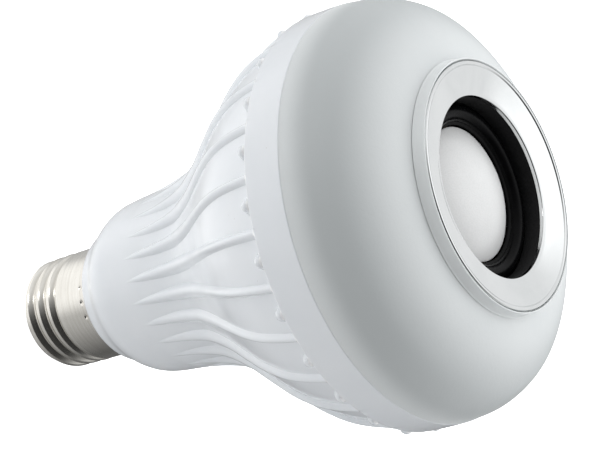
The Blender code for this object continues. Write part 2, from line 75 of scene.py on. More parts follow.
class Finish:
    """A Principled material whose colour, roughness and relief come from nodes."""

    def __init__(self, name, **sockets):
        self.material = bpy.data.materials.new(name)
        self.material.use_nodes = True
        self.tree = self.material.node_tree
        self.shader = self.tree.nodes["Principled BSDF"]
        for socket, value in sockets.items():
            self.shader.inputs[socket.replace("_", " ")].default_value = value
        self.place = self.node("ShaderNodeTexCoord").outputs["Object"]
        self.height = None

    def node(self, kind, **settings):
        made = self.tree.nodes.new(kind)
        for name, value in settings.items():
            setattr(made, name, value)
        return made

    def link(self, source, target):
        self.tree.links.new(source, target)
        return target

    def stretched(self, scale):
        """Object coordinates scaled by a vector, for patterns that run one way."""
        mapping = self.node("ShaderNodeMapping")
        mapping.inputs["Scale"].default_value = scale
        self.link(self.place, mapping.inputs["Vector"])
        return mapping.outputs["Vector"]

    def noise(self, scale, detail=3.0, rough=0.55, where=None, distortion=0.0):
        made = self.node("ShaderNodeTexNoise")
        made.inputs["Scale"].default_value = scale
        made.inputs["Detail"].default_value = detail
        made.inputs["Roughness"].default_value = rough
        made.inputs["Distortion"].default_value = distortion
        self.link(where or self.place, made.inputs["Vector"])
        return made.outputs["Fac"]

    def cells(self, scale):
        """Distance from the middle of randomly placed cells."""
        made = self.node("ShaderNodeTexVoronoi")
        made.inputs["Scale"].default_value = scale
        self.link(self.place, made.inputs["Vector"])
        return made.outputs["Distance"]

    def maths(self, operation, first, second=None, third=None):
        made = self.node("ShaderNodeMath", operation=operation)
        for index, value in enumerate((first, second, third)):
            if value is None:
                continue
            if isinstance(value, (int, float)):
                made.inputs[index].default_value = value
            else:
                self.link(value, made.inputs[index])
        return made.outputs["Value"]

    def ranged(self, value, low, high, start=0.3, end=0.7, smooth=False):
        """value from start..end mapped on to low..high."""
        made = self.node("ShaderNodeMapRange")
        if smooth:
            made.interpolation_type = "SMOOTHSTEP"
        for socket, number in zip(("From Min", "From Max", "To Min", "To Max"), (start, end, low, high)):
            made.inputs[socket].default_value = number
        self.link(value, made.inputs["Value"])
        return made.outputs["Result"]

    def mixed(self, share, first, second):
        """Two colours, or colour outputs, mixed by share."""
        made = self.node("ShaderNodeMix", data_type="RGBA")
        self.link(share, made.inputs["Factor"])
        for socket, value in (("A", first), ("B", second)):
            target = [s for s in made.inputs if s.name == socket and s.type == "RGBA"][0]
            if isinstance(value, tuple):
                target.default_value = (*value, 1.0)
            else:
                self.link(value, target)
        return [s for s in made.outputs if s.type == "RGBA"][0]

    def radius(self):
        """Distance from the bulb's axis, in metres."""
        parts = self.node("ShaderNodeSeparateXYZ")
        self.link(self.place, parts.inputs["Vector"])
        across = self.maths("MULTIPLY", parts.outputs["X"], parts.outputs["X"])
        total = self.maths("MULTIPLY_ADD", parts.outputs["Y"], parts.outputs["Y"], across)
        return self.maths("SQRT", total)

    def height_up(self):
        """Height along the bulb's axis, in metres."""
        parts = self.node("ShaderNodeSeparateXYZ")
        self.link(self.place, parts.inputs["Vector"])
        return parts.outputs["Z"]

    def colour(self, value):
        self.link(value, self.shader.inputs["Base Color"])

    def rough(self, value):
        self.link(value, self.shader.inputs["Roughness"])

    def bump(self, height, distance, strength=1.0):
        """Relief: height 0..1 times distance in metres. Calls add up."""
        made = self.node("ShaderNodeBump")
        made.inputs["Strength"].default_value = strength
        made.inputs["Distance"].default_value = distance
        self.link(height, made.inputs["Height"])
        if self.height is not None:
            self.link(self.height, made.inputs["Normal"])
        self.height = made.outputs["Normal"]
        self.link(self.height, self.shader.inputs["Normal"])


def shade(colour, factor):
    return tuple(min(1.0, channel * factor) for channel in colour)


def moulded(name, colour, rough=0.35, vary=0.03, grain=0.000012, **sockets):
    """Moulded plastic: faint cloudiness, an even fine grain and slightly uneven gloss."""
    made = Finish(name, **sockets)
    cloud = made.noise(90, 4.0)
    made.colour(made.mixed(made.ranged(cloud, 0, 1), shade(colour, 1 - vary), shade(colour, 1 + vary)))
    made.rough(made.ranged(made.noise(260, 3.0), rough * 0.88, rough * 1.12))
    made.bump(made.noise(2600, 2.0), grain)
    made.bump(made.noise(320, 2.0), grain * 2.5, 0.5)
    return made.material


def metal(name, colour, rough=0.25, streak=(30, 30, 2200), grain=0.000004, **sockets):
    """Turned or rolled metal: streaks round the axis, small stains and a fine grain."""
    made = Finish(name, Metallic=1.0, **sockets)
    streaks = made.noise(1.0, 4.0, 0.6, made.stretched(streak))
    stains = made.noise(120, 5.0, 0.6)
    tone = made.maths("MULTIPLY_ADD", streaks, 0.6, made.maths("MULTIPLY", stains, 0.4))
    made.colour(made.mixed(made.ranged(tone, 0, 1), shade(colour, 0.88), shade(colour, 1.06)))
    made.rough(made.ranged(tone, rough * 1.25, rough * 0.8))
    made.bump(streaks, grain)
    return made.material


def housing_finish():
    made = Finish("housing_gloss", IOR=1.5, Coat_Weight=0.35, Coat_Roughness=0.06)
    made.shader.inputs["Subsurface Weight"].default_value = 0.06
    made.shader.inputs["Subsurface Radius"].default_value = (0.0012, 0.0012, 0.0013)
    cloud = made.noise(45, 5.0, 0.6)
    colour = made.mixed(made.ranged(cloud, 0, 1), (0.800, 0.830, 0.862), (0.850, 0.872, 0.897))
    specks = made.ranged(made.cells(700), 1, 0, 0.035, 0.06)
    rare = made.ranged(made.noise(210, 1.0), 0, 1, 0.66, 0.7)
    dirt = made.maths("MULTIPLY", specks, rare)
    # painted highlight: a thin lighter line along the band's sharp edge, light caught by the edge painted into
    # the colour
    off_edge = made.maths("ABSOLUTE", made.maths("SUBTRACT", made.height_up(), PAINTED_HIGHLIGHT_Z * MM))
    painted_edge_highlight = made.ranged(off_edge, 1, 0, PAINTED_HIGHLIGHT_HALF * MM, PAINTED_HIGHLIGHT_FADE * MM, True)
    colour = made.mixed(painted_edge_highlight, colour, (0.985, 0.99, 1.0))
    made.colour(made.mixed(dirt, colour, (0.55, 0.53, 0.48)))
    made.rough(made.ranged(made.noise(150, 4.0), 0.17, 0.27))
    made.bump(made.noise(190, 2.0), 0.00007, 0.5)
    made.bump(made.noise(3200, 2.0), 0.000006, 0.6)
    return made.material


def diffuser_finish():
    made = Finish("diffuser_milk", IOR=1.49)
    made.shader.inputs["Subsurface Weight"].default_value = 0.25
    made.shader.inputs["Subsurface Radius"].default_value = (0.0030, 0.0031, 0.0030)
    cloud = made.noise(38, 5.0, 0.6)
    milk = made.mixed(made.ranged(cloud, 0, 1), (0.690, 0.716, 0.720), (0.730, 0.754, 0.756))
    # painted shade: a darker zone round the shoulder, soft at both ends, shade painted into the milky colour
    height = made.height_up()
    below = made.ranged(height, 0, 1, PAINTED_SHADE_LOW[0] * MM, PAINTED_SHADE_LOW[1] * MM, True)
    above = made.ranged(height, 1, 0, PAINTED_SHADE_HIGH[0] * MM, PAINTED_SHADE_HIGH[1] * MM, True)
    painted_shade = made.maths("MULTIPLY", made.maths("MULTIPLY", below, above), 0.85)
    made.colour(made.mixed(painted_shade, milk, (0.485, 0.512, 0.516)))
    made.rough(made.ranged(made.noise(420, 3.0), 0.42, 0.52))
    made.bump(made.noise(1500, 3.0, 0.65), 0.000028)
    made.bump(made.cells(900), 0.00001, 0.6)
    return made.material


def nickel_finish():
    """Nickel plate: bright on the crests, duller in the roots, with rolling marks round the shell."""
    made = Finish("nickel_plate", Metallic=1.0)
    streaks = made.noise(1.0, 4.0, 0.62, made.stretched((45, 45, 1500)))
    stains = made.noise(160, 5.0, 0.65)
    depth = made.ranged(made.radius(), 1, 0, (ROOT_R + 0.1) * MM, (ROOT_R + 0.8) * MM, True)
    wear = made.maths("MULTIPLY_ADD", stains, 0.35, made.maths("MULTIPLY", streaks, 0.65))
    plate = made.mixed(made.ranged(wear, 0, 1), (0.700, 0.675, 0.620), (0.860, 0.845, 0.800))
    made.colour(made.mixed(made.maths("MULTIPLY", depth, 0.35), plate, (0.42, 0.39, 0.33)))
    made.rough(made.ranged(wear, 0.27, 0.14))
    made.bump(streaks, 0.000014)
    made.bump(made.noise(900, 3.0), 0.000008)
    return made.material


def chrome_finish():
    made = Finish("chrome_plate", Metallic=1.0)
    smear = made.noise(110, 5.0, 0.6, distortion=0.6)
    made.colour(made.mixed(made.ranged(smear, 0, 1), (0.74, 0.755, 0.755), (0.80, 0.812, 0.81)))
    made.rough(made.ranged(smear, 0.045, 0.10))
    made.bump(made.noise(260, 2.0), 0.00002, 0.35)
    return made.material


def pearl_finish():
    """Silver-white lacquer with a fine metal flake."""
    made = Finish("dome_pearl", Metallic=0.12, Coat_Weight=0.2, Coat_Roughness=0.3)
    flake = made.cells(4200)
    cloud = made.noise(160, 3.0)
    base = made.mixed(made.ranged(cloud, 0, 1), (0.73, 0.735, 0.73), (0.77, 0.775, 0.77))
    made.colour(made.mixed(made.ranged(flake, 0, 0.25, 0.25, 0.6), base, (0.95, 0.95, 0.95)))
    made.rough(made.ranged(flake, 0.36, 0.46, 0.2, 0.6))
    made.bump(flake, 0.000008)
    return made.material


def rubber_finish():
    made = Finish("surround_rubber", IOR=1.2, Specular_IOR_Level=0.3)
    cloud = made.noise(400, 4.0)
    made.colour(made.mixed(made.ranged(cloud, 0, 1), (0.0012, 0.0012, 0.0014), (0.0032, 0.0032, 0.0036)))
    made.rough(made.ranged(made.noise(900, 3.0), 0.2, 0.3))
    made.bump(made.noise(2400, 2.0), 0.000012)
    dust = made.ranged(made.cells(1900), 1, 0, 0.04, 0.07)
    made.bump(dust, 0.00001, 0.4)
    return made.material


def foam_finish():
    made = Finish("gasket_foam", IOR=1.45)
    pores = made.cells(2600)
    made.colour(made.mixed(made.ranged(pores, 0, 1, 0.1, 0.6), (0.002, 0.002, 0.002), (0.010, 0.010, 0.011)))
    made.rough(made.ranged(pores, 0.62, 0.85, 0.1, 0.6))
    made.bump(pores, 0.00006)
    return made.material


def woven_finish(name, colour, pitch, relief):
    """Impregnated cloth with crossing threads."""
    made = Finish(name)
    wefts = []
    for axis in ("X", "Y"):
        wave = made.node("ShaderNodeTexWave", bands_direction=axis)
        wave.inputs["Scale"].default_value = 0.5 / pitch
        wave.inputs["Distortion"].default_value = 0.3
        made.link(made.place, wave.inputs["Vector"])
        wefts.append(wave.outputs["Fac"])
    weave = made.maths("MULTIPLY", wefts[0], wefts[1])
    made.colour(made.mixed(weave, shade(colour, 0.55), shade(colour, 1.15)))
    made.rough(made.ranged(made.noise(500), 0.7, 0.9))
    made.bump(weave, relief)
    return made.material


def wound_finish(name, colour, pitch):
    """A coil of enamelled wire: turns stacked along the axis."""
    made = Finish(name, Metallic=1.0, Coat_Weight=0.4)
    wave = made.node("ShaderNodeTexWave", bands_direction="Z")
    wave.inputs["Scale"].default_value = 0.314 / pitch
    made.link(made.place, wave.inputs["Vector"])
    made.colour(made.mixed(wave.outputs["Fac"], shade(colour, 0.45), colour))
    made.rough(made.ranged(made.noise(700), 0.25, 0.4))
    made.bump(wave.outputs["Fac"], pitch * 0.5)
    return made.material


def circuit_finish(name, base, trace):
    """Solder mask over copper tracks, seen as slightly lighter lines."""
    made = Finish(name, Coat_Weight=0.3)
    tracks = made.node("ShaderNodeTexBrick", offset=0.37)
    tracks.inputs["Scale"].default_value = 260
    tracks.inputs["Mortar Size"].default_value = 0.06
    tracks.inputs["Color1"].default_value = (0, 0, 0, 1)
    tracks.inputs["Color2"].default_value = (0.25, 0.25, 0.25, 1)
    tracks.inputs["Mortar"].default_value = (1, 1, 1, 1)
    made.link(made.place, tracks.inputs["Vector"])
    lines = tracks.outputs["Color"]
    made.colour(made.mixed(lines, base, trace))
    made.rough(made.ranged(made.noise(600), 0.3, 0.45))
    made.bump(lines, 0.00003)
    return made.material


def speckled(name, dark, light, rough, scale=900, relief=0.00002, **sockets):
    """Sintered, painted or foamed surfaces: a two-tone speckle."""
    made = Finish(name, **sockets)
    grit = made.noise(scale, 5.0, 0.7)
    made.colour(made.mixed(made.ranged(grit, 0, 1, 0.38, 0.62), dark, light))
    made.rough(made.ranged(grit, rough * 0.85, rough * 1.1))
    made.bump(grit, relief)
    return made.material


# --------------------------------------------------------------------------------------------------
# Shapes
# --------------------------------------------------------------------------------------------------


def table_radius(table, z):
    """Radii of a smooth outline of (height, radius) points at heights z."""
    z = np.atleast_1d(np.asarray(z, float))
    heights, radii = np.array(table, float).T
    slopes = np.empty(len(heights))
    slopes[1:-1] = (radii[2:] - radii[:-2]) / (heights[2:] - heights[:-2])
    slopes[0] = (radii[1] - radii[0]) / (heights[1] - heights[0])
    slopes[-1] = (radii[-1] - radii[-2]) / (heights[-1] - heights[-2])
    index = np.clip(np.searchsorted(heights, z, side="left") - 1, 0, len(heights) - 2)
    width = heights[index + 1] - heights[index]
    t = (z - heights[index]) / width
    r0, r1 = radii[index], radii[index + 1]
    m0, m1 = slopes[index] * width, slopes[index + 1] * width
    return r0 + t * (m0 + t * (3 * (r1 - r0) - 2 * m0 - m1 + t * (2 * (r0 - r1) + m0 + m1)))


def smooth(t):
    t = np.clip(t, 0.0, 1.0)
    return t * t * (3 - 2 * t)


def finish_piece(name, points, faces, body, replaced, material, sharp=60.0):
    """A mesh in millimetres as one named piece that rides on a body and stands for CAD nodes."""
    mesh = bpy.data.meshes.new(name)
    mesh.from_pydata((np.asarray(points, float) * MM).tolist(), [], faces)
    mesh.validate()
    mesh.shade_smooth()
    mesh.set_sharp_from_angle(angle=math.radians(sharp))
    mesh.materials.append(material)
    piece = bpy.data.objects.new(name, mesh)
    bpy.context.scene.collection.objects.link(piece)
    if body:
        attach(piece, body)
    if replaced:
        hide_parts(*replaced)
    return piece


def sheet_faces(rows, columns, wrap_rows=False, first=0):
    """Quads of a grid whose columns go all the way round."""
    low = np.arange(rows if wrap_rows else rows - 1)
    high = (low + 1) % rows
    k = np.arange(columns)
    n = (k + 1) % columns
    grid = np.stack(
        [
            low[:, None] * columns + k,
            low[:, None] * columns + n,
            high[:, None] * columns + n,
            high[:, None] * columns + k,
        ],
        axis=-1,
    )
    return (grid.reshape(-1, 4) + first).tolist()


def rounded(outline, steps=5):
    """Corners of a closed outline of (radius, height, fillet) points, rounded where a fillet is given."""
    corners = [np.array(corner[:2], float) for corner in outline]
    found = []
    for index, corner in enumerate(corners):
        fillet = outline[index][2] if len(outline[index]) > 2 else 0.0
        if not fillet:
            found.append(corner)
            continue
        before = corners[index - 1] - corner
        after = corners[(index + 1) % len(corners)] - corner
        reach = min(fillet, 0.48 * np.linalg.norm(before), 0.48 * np.linalg.norm(after))
        start = corner + before / np.linalg.norm(before) * reach
        end = corner + after / np.linalg.norm(after) * reach
        for k in range(steps + 1):
            t = k / steps
            found.append((1 - t) ** 2 * start + 2 * t * (1 - t) * corner + t * t * end)
    return np.array(found)


def lathe(name, outline, segments, body, replaced, material, sharp=60.0):
    """Turns a closed outline of (radius, height) points, anticlockwise with the radius to the right."""
    outline = np.asarray(outline, float)
    angles = TAU * np.arange(segments) / segments
    points = []
    rows = []
    for radius, z in outline:
        if radius < 1e-6:
            rows.append([len(points)] * segments)
            points.append((0.0, 0.0, z))
            continue
        rows.append(list(range(len(points), len(points) + segments)))
        points.extend(zip(radius * np.cos(angles), radius * np.sin(angles), np.full(segments, z)))
    faces = []
    for low, high in zip(rows, rows[1:] + rows[:1]):
        for k in range(segments):
            n = (k + 1) % segments
            face = list(dict.fromkeys((low[k], low[n], high[n], high[k])))
            if len(face) > 2:
                faces.append(face)
    return finish_piece(name, points, faces, body, replaced, material, sharp)


# --- housing: the same named sizes as the CAD part ---
LIP_Z = 28.2
SPIGOT_R = 12.35
SPIGOT_Z = 19.5
SEAM_Z = 109.6
RIB_COUNT = 26
RIB_Z0 = 47.5
RIB_Z1 = 102.0
RIB_TWIST = math.radians(2.0)
RIB_TALL = 1.6
LEDGE_Z0 = 97.8
LEDGE_Z1 = 101.5
LEDGE_R = 34.4
HOUSING_OUTSIDE = (
    (LIP_Z, 15.0),
    (29.0, 15.6),
    (32.0, 16.8),
    (35.2, 18.6),
    (38.5, 19.7),
    (RIB_Z0, 20.4),
    (56.0, 21.6),
    (64.0, 23.7),
    (71.5, 27.6),
    (79.0, 32.6),
    (86.0, 37.1),
    (93.0, 40.4),
    (RIB_Z1, 42.5),
    (106.6, 42.5),
    (SEAM_Z, 42.3),
)
# half the width of a rib's foot along its length: share of the length, millimetres
RIB_HALF_WIDTH = (
    (0.0, 0.12),
    (0.1, 0.85),
    (0.22, 1.45),
    (0.36, 1.8),
    (0.5, 1.5),
    (0.65, 1.2),
    (0.82, 1.02),
    (1.0, 0.98),
)
# beads at the foot of the band, between the ribs; the slope shortens them along the axis
PEARL_Z = 101.15
PEARL_R = 1.3
PEARL_TALL = 1.4
PEARL_RISE = 0.3
PEARL_SLOPE = 1.1
# raised lip of the band, and the painted highlight line on it
EDGE_BEAD = 0.13
PAINTED_HIGHLIGHT_Z = RIB_Z1 - 0.07
PAINTED_HIGHLIGHT_HALF = 0.14
PAINTED_HIGHLIGHT_FADE = 0.30
# from the rib crests to the inside
CREST_TO_BORE = 3.2
SLOPE_REACH = 0.2


def rib_share(z):
    """How far along its length a rib is at heights z, from 0 to 1."""
    return np.clip((z - RIB_Z0) / (RIB_Z1 - RIB_Z0), 0.0, 1.0)


def rib_tall(z):
    """How far the crests stand out from the panels."""
    share = rib_share(z)
    return RIB_TALL * smooth(share / 0.34) ** 0.8 * (1.0 - 0.35 * share)


def housing_radius(z, phase):
    """Outside radius at heights z (rows) and places across one rib's sector, phase -0.5 to 0.5 (columns)."""
    outline = table_radius(HOUSING_OUTSIDE, z)[:, None]
    share = rib_share(z)[:, None]
    tall = rib_tall(z)[:, None]
    arc = phase * TAU / RIB_COUNT * outline
    half = table_radius(RIB_HALF_WIDTH, share[:, 0])[:, None]
    ridge = np.clip(1.0 - (arc / half) ** 2, 0.0, None)
    ridge = np.where(share > 0, ridge, 0.0)
    band = smooth((z[:, None] - (RIB_Z1 - 0.42)) / 0.5)
    inside = tall * (1.0 - band)
    radius = outline - inside * (1.0 - ridge)
    past = z[:, None] - RIB_Z1
    bead = EDGE_BEAD * np.exp(-((past / np.where(past > 0, 0.9, 0.12)) ** 2))
    radius = radius + bead * (1.0 - 0.8 * np.clip(ridge, 0, 1))
    across = (0.5 - np.abs(phase)) * TAU / RIB_COUNT * outline
    spot = ((z[:, None] - PEARL_Z) * PEARL_SLOPE / PEARL_R) ** 2 + (across / PEARL_R) ** 2
    pearl = PEARL_TALL * np.sqrt(np.clip(1.0 - spot, 0.0, None))
    return np.where(spot < 1, np.maximum(radius, outline - tall + pearl + PEARL_RISE), radius)


def build_housing(material):
    """Ribbed bell: columns crowd at each rib's foot, rows at the band's edge and the beads."""
    # places across a rib, in half widths, and across the panel beside it, as shares
    rib_part = np.array([-1.25, -1.0, -0.94, -0.8, -0.56, -0.22, 0.22, 0.56, 0.8, 0.94, 1.0, 1.25])
    panel_steps = np.array([0.22, 0.42, 0.58, 0.68, 0.75, 0.82, 0.88, 0.94])
    low = [LIP_Z + 0.35, 28.75, 29.0, 29.5, 30.4, 31.4, 32.4, 33.4, 34.2, 34.8, 35.4, 36.2, 37.2, 38.6]
    heights = low + list(np.arange(40.0, RIB_Z0, 1.8))
    heights += list(RIB_Z0 + (RIB_Z1 - 3.2 - RIB_Z0) * np.linspace(0, 1, 50) ** 1.04)
    heights += list(np.arange(RIB_Z1 - 3.0, RIB_Z1 - 0.4, 0.19))
    heights += list(RIB_Z1 + np.array([-0.38, -0.3, -0.22, -0.14, -0.07, 0.0, 0.08, 0.18, 0.34, 0.6, 1.0]))
    heights += [103.8, 105.3, 106.8, 108.2, 109.1, 109.35]
    z = np.array(heights)
    outline = table_radius(HOUSING_OUTSIDE, z)
    sector = TAU / RIB_COUNT
    half = table_radius(RIB_HALF_WIDTH, rib_share(z)) / outline / sector
    rows = []
    for index in range(len(z)):
        ribs = rib_part * half[index]
        edge = ribs[-1]
        right = edge + (0.5 - edge) * panel_steps
        left = -right[::-1]
        rows.append(np.concatenate([[-0.5], left, ribs, right]))
    phase = np.array(rows)
    radius = np.empty_like(phase)
    for index in range(len(z)):
        radius[index] = housing_radius(z[index : index + 1], phase[index : index + 1])[0]
    twist = RIB_TWIST * np.clip((rib_share(z) - 0.35) / 0.65, 0, 1)
    per_rib = phase.shape[1]
    columns = per_rib * RIB_COUNT
    angle = (np.arange(RIB_COUNT)[None, :, None] + phase[:, None, :]) * sector + twist[:, None, None]
    angle = angle.reshape(len(z), columns)
    radius = np.tile(radius, (1, RIB_COUNT))
    shell = np.stack([radius * np.cos(angle), radius * np.sin(angle), np.repeat(z[:, None], columns, 1)], -1)

    # rim at the seam, then the inside down to the ledge, the bore and the spigot, as turned rows
    inner = [(42.29, SEAM_Z - 0.04), (42.24, SEAM_Z), (41.9, SEAM_Z), (40.1, SEAM_Z)]
    inner += [(40.1, LEDGE_Z1), (LEDGE_R, LEDGE_Z1), (LEDGE_R, LEDGE_Z0)]
    for height in np.linspace(LEDGE_Z0, 36.0, 9):
        r = table_radius(HOUSING_OUTSIDE, [height - SLOPE_REACH, height, height + SLOPE_REACH])
        inner.append((r[1] - CREST_TO_BORE * math.hypot(1, (r[2] - r[0]) / (2 * SLOPE_REACH)), height))
    inner += [(14.9, 30.3), (10.6, 30.3), (10.6, SPIGOT_Z), (SPIGOT_R, SPIGOT_Z), (SPIGOT_R, LIP_Z)]
    inner += [(14.55, LIP_Z), (14.85, LIP_Z + 0.05), (15.1, LIP_Z + 0.18)]
    base_angle = angle[-1]
    turned = np.array(
        [
            np.stack([r * np.cos(base_angle), r * np.sin(base_angle), np.full(columns, h)], -1)
            for r, h in inner
        ]
    )
    points = np.concatenate([shell, turned]).reshape(-1, 3)
    faces = sheet_faces(len(z) + len(inner), columns, wrap_rows=True)
    return finish_piece("housing_shell", points, faces, "bulb", ["housing"], material, 45.0)


# --- screw cap ---
CREST_R = 13.1
ROOT_R = 12.05
PITCH = 3.629
SHELL_Z0 = 4.3
SHELL_Z1 = 27.9
SKIRT_Z = 17.6
SKIRT_R = 13.0
SHELL_WALL = 0.35
PUNCH_Z = 25.3
PUNCH_R = 0.42
PUNCH_DEEP = 0.32
PUNCH_BURR = 0.03
PUNCH_ANGLES = [math.radians(69.5 + 15.0 * k + 120.0 * group) for group in range(3) for k in range(3)]


def shell_radius(z, angle):
    """Rolled thread, plain skirt and punch marks of the metal shell, over a grid of heights and angles."""
    turn = (z - SHELL_Z0) / PITCH - angle / TAU
    wave = 0.5 - 0.5 * np.cos(TAU * turn)
    wave = wave + 0.10 * np.sin(TAU * turn) ** 2
    rise = smooth((z - SHELL_Z0 - 0.4) / 2.0)
    fall = smooth((SKIRT_Z - z) / 1.8)
    thread = ROOT_R + (CREST_R - ROOT_R) * np.clip(wave, 0, 1) * rise
    radius = fall * thread + (1 - fall) * SKIRT_R
    radius = radius - 0.85 * (1 - smooth((z - SHELL_Z0 + 0.2) / 1.3))
    radius = radius - 0.10 * np.exp(-(((z - SKIRT_Z - 0.5) / 0.3) ** 2))
    for centre in PUNCH_ANGLES:
        swing = np.angle(np.exp(1j * (angle - centre))) * SKIRT_R
        near = (swing**2 + (z - PUNCH_Z) ** 2) / PUNCH_R**2
        burr = PUNCH_BURR * np.exp(-((np.sqrt(near) - 1.5) ** 2) / 0.1)
        radius = radius - PUNCH_DEEP * np.exp(-(near**1.5)) + burr
    return radius


def build_screw_cap(nickel, tin, insulator):
    """Thin metal shell whose inside has every sixth row of its outside, the tip contact and the insulator."""
    segments = 288
    thread = np.arange(SHELL_Z0, 19.0, 0.16)
    skirt = np.arange(19.0, 24.0, 0.8)
    punched = np.arange(24.2, 26.6, 0.13)
    z = np.concatenate([thread, skirt, punched, [26.9, 27.3, SHELL_Z1]])
    angle = TAU * np.arange(segments) / segments
    height, around = np.meshgrid(z, angle, indexing="ij")
    outside = shell_radius(height, around)
    outer = np.stack([outside * np.cos(around), outside * np.sin(around), height], -1)
    coarse = slice(None, None, -6)
    inside = outside[coarse] - SHELL_WALL
    inner = np.stack([inside * np.cos(around[coarse]), inside * np.sin(around[coarse]), height[coarse]], -1)
    points = np.concatenate([outer, inner])
    end_r = outside[0] - SHELL_WALL
    points[-1] = np.stack([end_r * np.cos(angle), end_r * np.sin(angle), np.full(segments, SHELL_Z0)], -1)
    faces = sheet_faces(len(points), segments, wrap_rows=True)
    points = points.reshape(-1, 3)
    finish_piece("rolled_shell", points, faces, "bulb", ["screw_shell"], nickel, 50.0)

    contact = [(0.0, 0.02), (1.2, 0.0), (2.2, 0.12), (3.4, 0.05), (4.3, 0.06, 0.3), (4.9, 0.45, 0.3)]
    contact += [(4.9, 1.2, 0.1), (1.3, 1.2), (1.3, 7.6, 0.2), (0.0, 7.6)]
    lathe("tip_contact", rounded(contact), 96, "bulb", ["centre_contact"], tin)

    cone = [(1.6, 1.5), (5.0, 1.5, 0.2), (5.5, 1.75, 0.2), (6.2, 1.95, 0.3), (7.0, 2.0, 0.3)]
    cone += [(9.6, 3.25, 0.4), (10.6, 3.9, 0.3), (10.85, 4.6, 0.2), (10.85, 6.6, 0.2), (1.6, 6.6)]
    lathe("cap_insulator", rounded(cone), 128, "bulb", ["base_insulator"], insulator)


# --- diffuser, speaker tube and chrome ring ---
DIFFUSER_OUTSIDE = (
    (SEAM_Z + 0.3, 42.2),
    (114.0, 41.4),
    (117.2, 40.0),
    (119.6, 38.2),
    (121.8, 35.2),
    (123.6, 32.0),
    (124.9, 28.8),
    (125.8, 25.3),
)


# where the diffuser's painted shade band fades in and out
PAINTED_SHADE_LOW = (109.8, 115.5)
PAINTED_SHADE_HIGH = (119.5, 125.5)
# speaker tube: bore, outside, and the hollow wall that stands round the ring
TUBE_IN_R = 21.3
TUBE_OUT_R = 23.2
WALL_FOOT_R = 25.2
WALL_FOOT_Z = 125.98
WALL_LEAN = 0.46
WALL_TALL = 2.02
# chrome ring: bead round the outside, shallow cone, and lip round the opening
BEAD_CENTRE = (23.79, 127.92)
BEAD_R = 0.40
CONE_OUT = (23.24, 128.05)
CONE_IN_R = 18.1
CONE_DROP = 1.23
CONE_CROWN = 0.04
LIP_CENTRE = (18.02, 126.5)
LIP_R = 0.3


def build_diffuser(material):
    """Milky dome with a skirt that reaches down inside the housing."""
    outside = [(41.7, SEAM_Z + 0.02), (42.2, SEAM_Z + 0.02), (42.25, SEAM_Z + 0.06)]
    steep = np.linspace(SEAM_Z + 0.3, 125.78, 76)
    outside += [(float(table_radius(DIFFUSER_OUTSIDE, h)[0]), float(h)) for h in steep]
    rim = [(25.22, 125.86), (25.08, 125.86), (24.9, 125.7), (23.6, 125.7), (23.6, 123.9)]
    inside = [(28.0, 122.9), (31.0, 121.7), (34.0, 119.9), (36.4, 117.4), (37.9, 114.4), (38.4, 111.6)]
    skirt = [(38.4, 105.4), (39.8, 105.4), (39.8, SEAM_Z + 0.06)]
    outline = outside + rim + inside + skirt
    lathe("diffuser_dome", outline, 300, "bulb", ["diffuser"], material, 45.0)


def build_speaker_tube(material):
    """White tube; its top flares into a hollow wall that stands on the diffuser round the chrome ring."""
    hollow = []
    for k in range(13):
        turn = k / 12 * math.pi / 2
        radius = WALL_FOOT_R - WALL_LEAN * math.sin(turn) ** 0.8
        hollow.append((radius, WALL_FOOT_Z + WALL_TALL * (1 - math.cos(turn)) ** 0.9))
    outline = [(TUBE_IN_R, 103.6), (TUBE_OUT_R, 103.6), (TUBE_OUT_R, 125.95), (24.95, 125.95)]
    outline += hollow
    outline += [(24.73, 128.12), (24.68, 128.2), (24.58, 128.24), (24.48, 128.2), (24.43, 128.1)]
    outline += [(24.42, 127.5), (24.0, 127.3), (23.0, 127.25)]
    outline += [(22.9, 126.5), (TUBE_IN_R, 126.5), (TUBE_IN_R, 120.3), (18.0, 120.3), (18.0, 119.1)]
    outline += [(TUBE_IN_R, 118.5)]
    lathe("speaker_tube", outline, 256, "bulb", ["speaker_carrier"], material, 50.0)


def build_chrome_ring(material):
    """Outer bead, a fine groove, a shallow cone and a rounded lip turned into the opening."""
    bead = []
    for k in range(13):
        angle = math.radians(-60 + 205 * k / 12)
        bead.append((BEAD_CENTRE[0] + BEAD_R * math.cos(angle), BEAD_CENTRE[1] + BEAD_R * math.sin(angle)))
    cone = [(23.40, 128.0), (23.33, 127.98), CONE_OUT]
    for k in range(1, 9):
        t = k / 9
        radius = CONE_OUT[0] - (CONE_OUT[0] - CONE_IN_R) * t
        cone.append((radius, CONE_OUT[1] - CONE_DROP * t + CONE_CROWN * math.sin(math.pi * t)))
    lip = []
    for k in range(8):
        angle = math.radians(80 + 100 * k / 7)
        lip.append((LIP_CENTRE[0] + LIP_R * math.cos(angle), LIP_CENTRE[1] + LIP_R * math.sin(angle)))
    under = [(17.72, 125.95), (17.85, 125.85), (18.2, 125.85), (18.3, 126.1), (22.7, 127.3)]
    lathe("chrome_ring", bead + cone + lip + under, 320, "bulb", ["trim_ring"], material, 40.0)


# --- loudspeaker front ---
DOME_R = 13.25
DOME_Z = 120.9
DOME_RISE = 4.0
DOME_WALL = 0.4
# the surround's roll, outside and inside, round a circle
ROLL_R = 1.7
ROLL_UNDER_R = 1.3
ROLL_CENTRE = 15.75
ROLL_Z = 121.62
SPIDER_IN_R = 8.4
SPIDER_OUT_R = 16.2
SPIDER_Z = 116.4
SPIDER_DROP = 0.4
SPIDER_WAVE = 0.3
SPIDER_HALF = 0.12
# radii of the surround and the spider between the diaphragm and the bulb, handed to between_bodies, which does
# not use them
SURROUND_MOVES = (13.6, 17.4)
SPIDER_MOVES = (8.7, 15.8)


def between_bodies(piece, inner_r, outer_r):
    """Bakes the piece's placement into its mesh; inner_r and outer_r are not used."""
    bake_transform(piece)


def roll_arc(radius, angles):
    return [(ROLL_CENTRE + radius * math.cos(a), ROLL_Z + radius * math.sin(a)) for a in angles]


